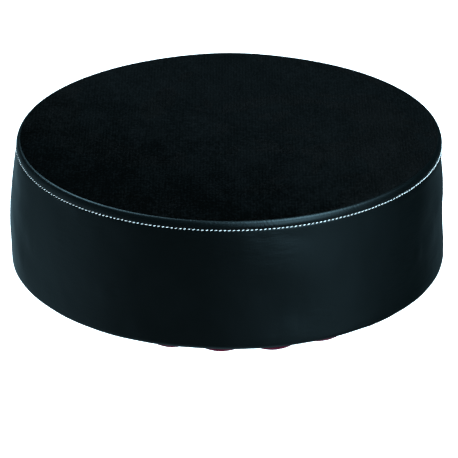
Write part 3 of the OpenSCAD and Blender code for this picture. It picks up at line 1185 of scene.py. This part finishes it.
@dataclass
class SideCover:
    """The leathercloth side: roll, stitched groove, side, corner and turned-under margin."""

    sizes: Measures
    skin: PaddedSkin
    staples: Staples
    stitches: int = 312
    roll_in: float = 0.45 * MM
    roll_down: float = 0.5 * MM
    groove_depth: float = 0.35 * MM
    groove_width: float = 0.8 * MM
    bulge_below: float = 0.15 * MM
    draw: float = 0.16 * MM
    puff_height: float = 0.2 * MM
    puff_sunk: float = 0.3 * MM
    fold_height: float = 0.3 * MM
    band_dip: float = 0.09 * MM
    joint_reach: float = 4.2 * MM
    joint_depth: float = 0.9 * MM
    joint_width: float = 1.3 * MM

    def angles(self) -> Points:
        """Four angles a stitch, and closer ones about the joint at the rear.

        Returns:
            The angles, in order.
        """
        even = all_round(self.stitches * 4)
        reach = self.joint_reach / self.sizes.r_widest
        close = REAR + np.linspace(-reach, reach, 27)
        near = np.abs(apart(even, REAR)) < 1.024 * reach
        return np.sort(np.concatenate([even[~near], close]))

    def outline(self) -> tuple[Points, Points, Points]:
        """Outer profile from inside the seam, over the roll and down to the margin's edge.

        The roll is part of an ellipse. Below it the side's sine and parabola have a bell
        taken out at the stitches and a low bulge added under them. The corner is round.

        Returns:
            Distance past the seam, radius and height of each point.
        """
        s = self.sizes
        top = s.z_seam - self.roll_down
        roll_h = top - s.z_stitch - 1.2 * MM
        roll_w = s.roll_r - s.r_seam + self.roll_in
        a = np.radians(np.concatenate([[108, 98, 90, 83, 76, 69], np.linspace(61, 5, 9)]))
        roll = np.stack([
            s.r_seam - self.roll_in + roll_w * np.cos(a), top - roll_h * (1 - np.sin(a))
        ])
        tuck = np.stack([
            s.r_seam - self.roll_in + np.array([-0.8, -0.75]) * MM, top - np.array([4.0, 1.6]) * MM
        ])
        drop = np.concatenate([
            np.linspace(-0.15, 2.2, 7), np.array([3.2, 4.6, 6.4, 8.6, 11.4, 14.6])
        ]) * MM
        z_corner = s.z_band + s.corner_r
        far = np.linspace(18.4 * MM, s.z_stitch - z_corner, 15)
        drop = np.concatenate([drop, far])
        z = s.z_stitch - drop
        r = side_radius(s, z) - self.groove_depth * bell(drop, 0.3 * MM, self.groove_width)
        r += self.bulge_below * smooth(drop, 0.0, 5 * MM) * (1 - smooth(drop, 4 * MM, 34 * MM))
        path = np.concatenate([tuck, roll, np.stack([r, z]), lower_edge(s, 10, 9)], axis=1)
        way = walked(path)
        return way - way[tuck.shape[1]], path[0], path[1]

    def build(self) -> bpy.types.Object:
        """Make the side as one closed skin, with its inner face a cloth's thickness behind.

        Returns:
            The leathercloth piece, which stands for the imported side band.
        """
        s = self.sizes
        theta = self.angles()
        u, radius, height = self.outline()
        nr, nz = outward(radius, height)
        rise = self.relief(theta, u, radius, height)
        lift = rear_lift(s, theta)[:, None] * smooth(height, s.z_stitch - 20 * MM, s.z_seam)
        lift = lift + stitch_sway(theta)[:, None] * bell(height, s.z_stitch, 4 * MM)
        radius = radius + side_lean(s, theta, height)
        height = height + lift
        outer = turned(theta, radius + nr * rise, height + nz * rise)
        back = slice(None, None, -5)
        inner = turned(
            theta,
            (radius - nr * self.sizes.band_t)[:, back] + (nr * rise)[:, back] * 0.9,
            (height - nz * self.sizes.band_t)[:, back] + (nz * rise)[:, back] * 0.9,
        )
        mesh = lathe_mesh("side_cover", np.concatenate([outer, inner], axis=1), Skin.LOOP)
        made = piece("side_cover", mesh, LEATHERCLOTH, "seat")
        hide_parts("side_band")
        return made

    def relief(self, theta: Points, u: Points, radius: Points, height: Points) -> Points:
        """Height of the side's relief over its profile.

        It adds the skin's rise, the pull of each stitch on the roll and the groove, the puffs
        between the staples, the joint at the rear and long shallow wrinkles.

        Args:
            theta: one angle a row.
            u: distance past the seam of each column.
            radius: radius of each column.
            height: height of each column.

        Returns:
            A height for each row and column.
        """
        s = self.sizes
        drop = s.z_stitch - height
        below = smooth(drop, 0.0, 6 * MM)
        on_roll = (1 - smooth(u, 6.0 * MM, 9.0 * MM)) * smooth(u, 0.3 * MM, 2.5 * MM)
        phase = theta * self.stitches
        pull = (0.5 - 0.5 * np.cos(phase))[:, None]
        uneven = 0.6 + 0.4 * waves(theta, u * 0.2, 8, (20, 90), (0.01, 0.03))
        slanted = (0.5 - 0.5 * np.cos(phase[:, None] - 0.9 * drop[None, :] / MM)) * uneven
        reach = bell(drop, -0.4 * MM, 2.6 * MM) + 0.5 * on_roll
        rise = self.draw * (0.4 * pull + 0.6 * slanted) * reach[None, :]
        turned_in = smooth(radius, s.r_widest - 26 * MM, s.r_widest - 7 * MM)
        turned_in = np.where(drop > s.widest_drop, turned_in, 1.0)
        rise = rise + self.skin.rise_at(theta, u) * ((0.25 + 0.75 * below) * turned_in)[None, :]
        lowered = 1 - smooth(height, s.z_band + 0.3 * s.corner_r, s.z_band + 2.2 * s.corner_r)
        inside = smooth(radius, s.r_band_end + 6 * MM, s.r_band_end + 15 * MM)
        puff = self.puff_height * self.staples.puff(theta)[:, None] - self.puff_sunk
        rise = rise + puff * (lowered * inside)[None, :]
        long_waves = waves(theta, u, 17, (7, 40), (0.018, 0.07))
        fold = np.maximum(long_waves - 0.9, 0) * self.fold_height
        low_down = smooth(drop, 8 * MM, 60 * MM) * (1 - lowered)
        where = 0.35 + 0.65 * bell(apart(theta, FRONT + math.radians(36)), 0.0, 0.6)
        rise = rise + fold * (low_down[None, :] * where[:, None] + 0.25 * below[None, :])
        band = bell(drop, 11 * MM, 3.2 * MM)[None, :]
        rise = rise - self.band_dip * band * (0.3 + 0.7 * np.clip(
            waves(theta, u * 0, 19, (2, 9), (1, 2)), -0.4, 1))
        return rise + self._rear_joint(theta, radius, drop, below)

    def _rear_joint(self, theta: Points, radius: Points, drop: Points, below: Points) -> Points:
        """The joint of the band's two ends: a narrow dip between two turned allowances.

        Args:
            theta: one angle a row.
            radius: radius of each column.
            drop: how far each column lies under the stitches.
            below: 0 at the stitches and 1 well under them.

        Returns:
            A height for each row and column.
        """
        across = apart(theta, REAR)[:, None] * radius[None, :]
        dip = -self.joint_depth * bell(across, 0.0, 0.75 * self.joint_width)
        allowance = 0.35 * self.joint_depth * (
            smooth(-np.abs(across), -3.9 * MM, -2.6 * MM) - bell(across, 0.0, self.joint_width))
        return (dip + allowance) * smooth(drop, 0.3 * MM, 3 * MM)[None, :]


@dataclass
class TopStitching:
    """Single stitches along the groove under the roll."""

    sizes: Measures
    cover: SideCover
    length_share: float = 0.74
    thread_r: float = 0.32 * MM
    level: float = -0.4 * MM
    lift: float = 0.2 * MM
    dive: float = 0.75 * MM
    slant: float = math.radians(12)
    round_it: int = 8
    along: int = 6

    def build(self) -> bpy.types.Object:
        """Make all the stitches as one piece.

        A stitch is a tube whose middle line is a parabola that dives into the cover at both
        ends, and whose girth is the square root of a flat-topped arch.

        Returns:
            The thread piece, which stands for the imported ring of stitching.
        """
        count = self.cover.stitches
        pitch = TURN * self.sizes.r_stitch / count
        draw = np.random.default_rng(7)
        wobble = draw.normal(0, 1, (4, count))
        t = np.linspace(-1, 1, self.along)[None, :, None]
        a = np.arange(self.round_it)[None, None, :] / self.round_it * TURN
        half = 0.5 * pitch * self.length_share * (1 + 0.04 * wobble[0])[:, None, None]
        girth = self.thread_r * (1 - 0.8 * np.abs(t) ** 3.5) * (1 + 0.05 * wobble[1])[:, None, None]
        slant = self.slant * (1 + 0.35 * wobble[2])[:, None, None]
        base = self.sizes.roll_r - self.cover.groove_depth + self.thread_r * 0.55
        rise = base + self.lift + girth * np.cos(a) - self.dive * t**4
        middle = np.arange(count) / count * TURN
        level = self.sizes.z_stitch + self.level + 0.06 * MM * wobble[3]
        level = level + rear_lift(self.sizes, middle) * smooth(
            self.sizes.z_stitch, self.sizes.z_stitch - 20 * MM, self.sizes.z_seam)
        level = (level + stitch_sway(middle))[:, None, None]
        place = middle[:, None, None] + half * t / self.sizes.r_stitch
        height = level + girth * np.sin(a) + half * t * np.tan(slant)
        points = np.stack([rise * np.cos(place), rise * np.sin(place), height + 0 * rise], axis=-1)
        mesh = self._tubes(points.reshape(count, self.along, self.round_it, 3))
        made = piece("top_stitching_thread", mesh, THREAD, "seat")
        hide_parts("top_stitching")
        return made

    def _tubes(self, points: Points) -> bpy.types.Mesh:
        """Mesh of many short tubes with closed ends and a map along and round each.

        Args:
            points: tubes by places along by places round by 3.

        Returns:
            The mesh.
        """
        count, along, round_it = points.shape[:3]
        index = np.arange(count * along * round_it).reshape(count, along, round_it)
        beside = np.roll(index, -1, axis=2)
        quads = np.stack(
            [index[:, :-1], index[:, 1:], beside[:, 1:], beside[:, :-1]], axis=-1
        ).reshape(-1, 4)
        ends = np.concatenate([index[:, 0, :], index[:, -1, ::-1]])
        mesh = mesh_of("top_stitching_thread", points.reshape(-1, 3), quads.tolist() + ends.tolist())
        flow = np.stack(np.broadcast_arrays(
            np.linspace(0, 1, along)[None, :, None],
            np.arange(round_it)[None, None, :] / round_it,
            np.zeros((count, 1, 1)),
        ), axis=-1)[..., :2].reshape(-1, 2)
        corners = np.empty(len(mesh.loops), np.int32)
        mesh.loops.foreach_get("vertex_index", corners)
        mesh.uv_layers.new(name="thread").data.foreach_set("uv", flow[corners].ravel())
        return mesh


@dataclass
class DustCover:
    """The crimson cloth under the seat, with its hem puffed between the staples."""

    sizes: Measures
    cover: SideCover
    staples: Staples
    rows: int = 432
    cloth_t: float = 1 * MM
    hem_t: float = 1.5 * MM
    hem_past: float = 1.5 * MM
    hem_out: float = 6.5 * MM
    pucker: float = 3.3 * MM
    slack: float = 1.5 * MM
    wrinkle: float = 0.5 * MM
    fan: float = 0.5 * MM

    def build(self) -> bpy.types.Object:
        """Make the cover.

        Its lower face is flat over the bracket, sags a little past it, steps down over the
        side's margin, and puckers at its hem in step with the side's own puffs.

        Returns:
            The cloth piece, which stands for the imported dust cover.
        """
        s = self.sizes
        theta = all_round(self.rows)
        puff = self.staples.puff(theta)[:, None]
        share = np.concatenate([
            np.linspace(0.03, 0.5, 8), np.linspace(0.53, 0.85, 12),
            np.linspace(0.858, 0.888, 5), np.linspace(0.898, 1.0, 17),
        ])
        flat = s.r_cover * share
        past = smooth(flat, s.r_band_end + 2 * MM, s.r_cover)
        radius = flat + (self.hem_past + self.hem_out * puff) * past
        over_board = s.z_plate_top + 0 * flat
        sag = self.slack * smooth(flat, s.r_plate - 4 * MM, s.r_plate + 26 * MM)
        sag = sag * (1 - smooth(flat, s.r_band_end - 22 * MM, s.r_band_end - 2 * MM))
        step = (s.z_plate_top - s.z_cover_low) * smooth(
            flat, s.r_band_end - 5 * MM, s.r_band_end - 0.8 * MM)
        side_puff = self.cover.puff_height * smooth(
            radius, s.r_band_end + 6 * MM, s.r_band_end + 15 * MM)
        hem = self.pucker * smooth(flat, s.r_cover - 9 * MM, s.r_cover - 0.5 * MM)
        wrinkle = self.wrinkle * waves(theta, flat, 31, (9, 60), (0.03, 0.09))
        soft = smooth(flat, s.r_plate, s.r_plate + 12 * MM)
        fan = self.fan * np.cos((theta - self.staples.first) * self.staples.count)[:, None]
        fan = fan * smooth(flat, s.r_plate + 15 * MM, s.r_cover - 12 * MM)
        low = (over_board - sag - step)[None, :] - side_puff * puff - hem * puff
        low = low + (wrinkle - np.abs(wrinkle)) * 0.5 * soft[None, :] * (1 - 0.7 * share**8)
        low = low + np.minimum(fan, 0) * (1 - smooth(flat, s.r_cover - 12 * MM, s.r_cover))
        thick = self.cloth_t + (self.hem_t - self.cloth_t) * smooth(flat, s.r_cover - 9 * MM, s.r_cover)
        thick = thick * (1 - 0.55 * smooth(flat, s.r_cover - 1.2 * MM, s.r_cover))
        high = low + thick[None, :]
        lower, upper = (
            np.stack([radius * np.cos(theta)[:, None], radius * np.sin(theta)[:, None], z], axis=-1)
            for z in (low, high)
        )
        mesh = lathe_mesh("dust_cover_cloth", np.concatenate([upper, lower[:, ::-1]], axis=1), Skin.POLES)
        made = piece("dust_cover_cloth", mesh, DUST_CLOTH, "seat")
        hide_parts("dust_cover")
        across = 2 * (s.r_cover + self.hem_past + 0.5 * self.hem_out)
        math.pi * across**2 / 4
        return made


@dataclass
class Padding:
    """The foam and wadding inside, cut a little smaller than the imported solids."""

    sizes: Measures
    inset: float = 3 * MM
    wadding_inset: float = 7 * MM
    round_off: float = 6 * MM
    cut: float = 0.25 * MM
    rows: int = 192

    def build(self) -> list[bpy.types.Object]:
        """Make the topper, the core and the wadding round them.

        Returns:
            The three pieces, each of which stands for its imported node.
        """
        topper_low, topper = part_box("foam_topper")
        core_low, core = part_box("foam_core")
        wadding_low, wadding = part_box("side_padding")
        return [
            self._block("foam_topper", topper.x - self.inset, topper_low.z + 0.012,
                        topper.z - self.inset, TOPPER_FOAM, "topper_foam"),
            self._block("foam_core", core.x - self.inset, core_low.z + 0.3 * MM,
                        topper_low.z + 0.011, CORE_FOAM, "core_foam"),
            self._hoop("side_padding", core.x, wadding.x - self.wadding_inset,
                       wadding_low.z + self.wadding_inset, wadding.z, BATTING, "batting"),
        ]

    def _block(
        self, node: str, radius: float, low: float, high: float, finish: Finish, slot: str
    ) -> bpy.types.Object:
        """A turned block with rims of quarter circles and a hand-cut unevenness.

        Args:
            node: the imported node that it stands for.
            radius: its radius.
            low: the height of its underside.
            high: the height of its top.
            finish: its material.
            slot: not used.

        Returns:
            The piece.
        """
        theta = all_round(self.rows)
        e = self.round_off
        a = np.linspace(0, math.pi / 2, 7)
        inner = np.linspace(0.05, 1, 16) * (radius - e)
        r = np.concatenate([inner, radius - e + e * np.sin(a[1:]), radius - e + e * np.cos(a[1:]),
                            inner[-2::-1]])
        z = np.concatenate([np.full(16, high), high - e + e * np.cos(a[1:]),
                            low + e - e * np.sin(a[1:]), np.full(15, low)])
        nr, nz = outward(r, z)
        cut = self.cut * (waves(theta, walked(np.stack([r, z])), 41, (2, 14), (0.03, 0.1)) - 2)
        mesh = lathe_mesh(node + "_block", turned(theta, r + nr * cut, z + nz * cut), Skin.POLES)
        return self._finish(node, mesh, finish)

    def _hoop(
        self, node: str, inner: float, outer: float, low: float, high: float,
        finish: Finish, slot: str
    ) -> bpy.types.Object:
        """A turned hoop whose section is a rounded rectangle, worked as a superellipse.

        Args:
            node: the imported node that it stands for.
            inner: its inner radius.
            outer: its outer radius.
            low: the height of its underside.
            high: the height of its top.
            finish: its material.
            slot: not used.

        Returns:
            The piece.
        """
        theta = all_round(self.rows)
        a = np.linspace(0, TURN, 40, endpoint=False)
        c, q = np.cos(a), np.sin(a)
        r = (inner + outer) / 2 + (outer - inner) / 2 * np.sign(q) * np.abs(q) ** 0.5
        z = (low + high) / 2 + (high - low) / 2 * np.sign(c) * np.abs(c) ** 0.5
        mesh = lathe_mesh(node + "_hoop", turned(theta, r, z), Skin.LOOP)
        return self._finish(node, mesh, finish)

    def _finish(
        self, node: str, mesh: bpy.types.Mesh, finish: Finish
    ) -> bpy.types.Object:
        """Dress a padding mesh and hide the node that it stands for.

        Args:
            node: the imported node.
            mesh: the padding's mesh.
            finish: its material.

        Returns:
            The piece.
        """
        made = piece(mesh.name, mesh, finish, "seat")
        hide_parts(node)
        return made


# ---------------------------------------------------------------- the bracket


@dataclass
class Bracket:
    """The metal and plastic under the seat, and the hard parts inside it."""

    pitch: float = 1.25 * MM
    thread_depth: float = 0.55 * MM
    finishes: dict[str, Finish] = field(default_factory=lambda: {
        "seat_board": PLYWOOD,
        "tee_nuts": ZINC,
        "band_staples": ZINC,
        "dust_cover_staples": ZINC,
        "bracket_plate": POWDER_COAT,
        "bracket_gussets": POWDER_COAT,
        "socket_tube": POWDER_COAT,
        "socket_bush": BUSH_PLASTIC,
        "clamp_collar": CHROME,
        "clamp_nut": ZINC,
        "clamp_washer": ZINC,
        "wing_head": CHROME,
        "bracket_bolts": ZINC,
        "bracket_lock_washers": ZINC,
        "bracket_washers": ZINC,
    })

    def dress(self) -> None:
        """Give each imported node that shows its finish."""
        for node, finish in self.finishes.items():
            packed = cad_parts[node]
            if not packed.material_slots:
                packed.data.materials.append(None)
            for slot in packed.material_slots:
                slot.material = finish.material()
            LOG.info("%s: %s", node, finish.title)

    def clamp_thread(self) -> bpy.types.Object:
        """The clamp bolt with its screw thread cut.

        Its radius is the bolt's, less a triangle wave of the way along plus the way round,
        and it narrows to a chamfer at its free end.

        Returns:
            The bolt piece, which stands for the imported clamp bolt.
        """
        low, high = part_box("clamp_bolt")
        full = (high.z - low.z) / 2
        y, z = (low.y + high.y) / 2, (low.z + high.z) / 2
        steps = int((high.x - low.x) / self.pitch * 8)
        x = np.linspace(high.x, low.x, steps)
        angle = np.arange(24) / 24 * TURN
        phase = (x[None, :] / self.pitch + angle[:, None] / TURN) % 1.0
        cut = self.thread_depth * np.abs(2 * phase - 1) ** 0.8
        cut = cut * smooth(high.x - 14 * MM - x, 0.0, 1 * MM)[None, :]
        chamfer = 1 - 0.25 * (1 - smooth(x - low.x, 0.0, 1.2 * MM))
        radius = (full - cut) * chamfer[None, :]
        points = np.stack([
            np.broadcast_to(x[None, :], radius.shape),
            y + radius * np.cos(angle)[:, None],
            z + radius * np.sin(angle)[:, None],
        ], axis=-1)
        made = piece(
            "clamp_bolt_thread", lathe_mesh("clamp_bolt_thread", points, Skin.POLES),
            ZINC, "wing_bolt",
        )
        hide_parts("clamp_bolt")
        return made


# ---------------------------------------------------------------- the studio


@dataclass(frozen=True)
class Softbox:
    """A soft light seen as a round glow in one direction.

    Azimuth 0 is the seat's front and 90 its right, both in degrees.
    """

    azimuth: float
    elevation: float
    tightness: float
    strength: float

    def direction(self) -> tuple[float, float, float]:
        """Unit vector from the seat to the light."""
        a, e = math.radians(self.azimuth), math.radians(self.elevation)
        return (math.sin(a) * math.cos(e), -math.cos(a) * math.cos(e), math.sin(e))


@dataclass
class Studio:
    """Floor, surrounding light and camera."""

    base: float = 0.013
    seen_tint: Colour = (0.46, 0.82, 1.0)
    fill_tint: Colour = (0.9, 0.97, 1.0)
    softboxes: tuple[Softbox, ...] = (
        Softbox(35, 17, 27, 10.0),
        Softbox(52, 56, 24, 18.0),
        Softbox(88, 69, 66, 15.0),
        Softbox(-140, 51, 48, 18.0),
        Softbox(56, -25, 18, 0.68),
        Softbox(-95, -25, 6, 0.47),
        Softbox(-166, -25, 20, 0.58),
        Softbox(150, -25, 18, 0.12),
        Softbox(0, -90, 14, 0.8),
    )
    floor_drop: float = 0.45
    floor_half: float = 14.0
    floor_glow: float = 1.25
    camera_distance: float = 3.06
    camera_elevation: float = 24.925
    camera_roll: float = 0.186
    aim_across: float = -0.3 * MM
    aim_below_seam: float = 87.3 * MM
    lens: float = 288.5
    sensor: float = 36.0
    sees_to: float = 50.0

    def light(self) -> None:
        """Surround the seat with the softboxes' glow; the camera itself sees white."""
        world = bpy.data.worlds.new("studio")
        bpy.context.scene.world = world
        tree = Tree(world)
        way = tree.make("ShaderNodeTexCoord", {}, {}).outputs["Generated"]
        glow = None
        for box in self.softboxes:
            towards = tree.add(
                "ShaderNodeVectorMath", {"operation": "DOT_PRODUCT"},
                {0: way, 1: box.direction()}, "Value",
            )
            one = (towards.at_least(0.0) ** box.tightness) * box.strength
            glow = one if glow is None else glow + one
        rays = tree.make("ShaderNodeLightPath", {}, {}).outputs
        diffuse = Number(tree, rays["Is Diffuse Ray"])
        surround = tree.make(
            "ShaderNodeBackground", {},
            {"Color": tree.tint(diffuse, self.seen_tint, self.fill_tint),
             "Strength": glow + self.base},
        )
        white = tree.make("ShaderNodeBackground", {}, {"Color": (1.0, 1.0, 1.0), "Strength": 1.0})
        tree.end(tree.mixed(rays["Is Camera Ray"], surround, white), "ShaderNodeOutputWorld")

    def floor(self) -> bpy.types.Object:
        """A plain pale light table well below the seat, which is clear from underneath.

        Returns:
            The floor.
        """
        h = self.floor_half
        corners = np.array([(-h, -h, 0), (h, -h, 0), (h, h, 0), (-h, h, 0)], float)
        corners[:, 2] = CAD_BOX[0].z - self.floor_drop
        plane = bpy.data.objects.new("floor", mesh_of("floor", corners, [(0, 1, 2, 3)]))
        bpy.context.scene.collection.objects.link(plane)
        pale = bpy.data.materials.new("floor_pale")
        tree = Tree(pale)
        table = tree.make(
            "ShaderNodeBsdfPrincipled", {},
            {"Base Color": (0.9, 0.9, 0.9), "Roughness": 0.9, "Emission Color": (1.0, 1.0, 1.0),
             "Emission Strength": self.floor_glow},
        )
        clear = tree.make("ShaderNodeBsdfTransparent", {}, {})
        under = tree.make("ShaderNodeNewGeometry", {}, {}).outputs["Backfacing"]
        tree.end(tree.mixed(under, table, clear))
        plane.data.materials.append(pale)
        plane.visible_glossy = False
        return plane

    def camera(self, sizes: Measures) -> bpy.types.Object:
        """A long lens in front of the seat and a little above it.

        Args:
            sizes: the seat's measures.

        Returns:
            The camera.
        """
        data = bpy.data.cameras.new("camera")
        data.lens = self.lens
        data.sensor_width = self.sensor
        data.clip_end = self.sees_to
        made = bpy.data.objects.new("camera", data)
        bpy.context.scene.collection.objects.link(made)
        e = math.radians(self.camera_elevation)
        aim = Vector((self.aim_across, 0, sizes.z_seam - self.aim_below_seam))
        made.location = aim + self.camera_distance * Vector((0, -math.cos(e), math.sin(e)))
        tilt = Matrix.Rotation(math.pi / 2 - e, 3, "X")
        level = Matrix.Rotation(-math.radians(self.camera_roll), 3, "Z")
        made.rotation_euler = (tilt @ level).to_euler()
        bpy.context.scene.camera = made
        return made


def main() -> None:
    """Build the seat in order."""
    logging.basicConfig(level=logging.INFO, format="%(name)s: %(message)s")
    scene = bpy.context.scene
    scene.view_settings.view_transform = "Standard"
    sizes = Measures.from_frame()
    staples = Staples()
    skin = PaddedSkin(sizes, staples)
    skin.inflate()
    TopPanel(sizes, skin).build()
    cover = SideCover(sizes, skin, staples)
    cover.build()
    TopStitching(sizes, cover).build()
    DustCover(sizes, cover, staples).build()
    Padding(sizes).build()
    bracket = Bracket()
    bracket.dress()
    bracket.clamp_thread()
    studio = Studio()
    studio.light()
    studio.floor()
    studio.camera(sizes)


if __name__ == "__main__":
    main()
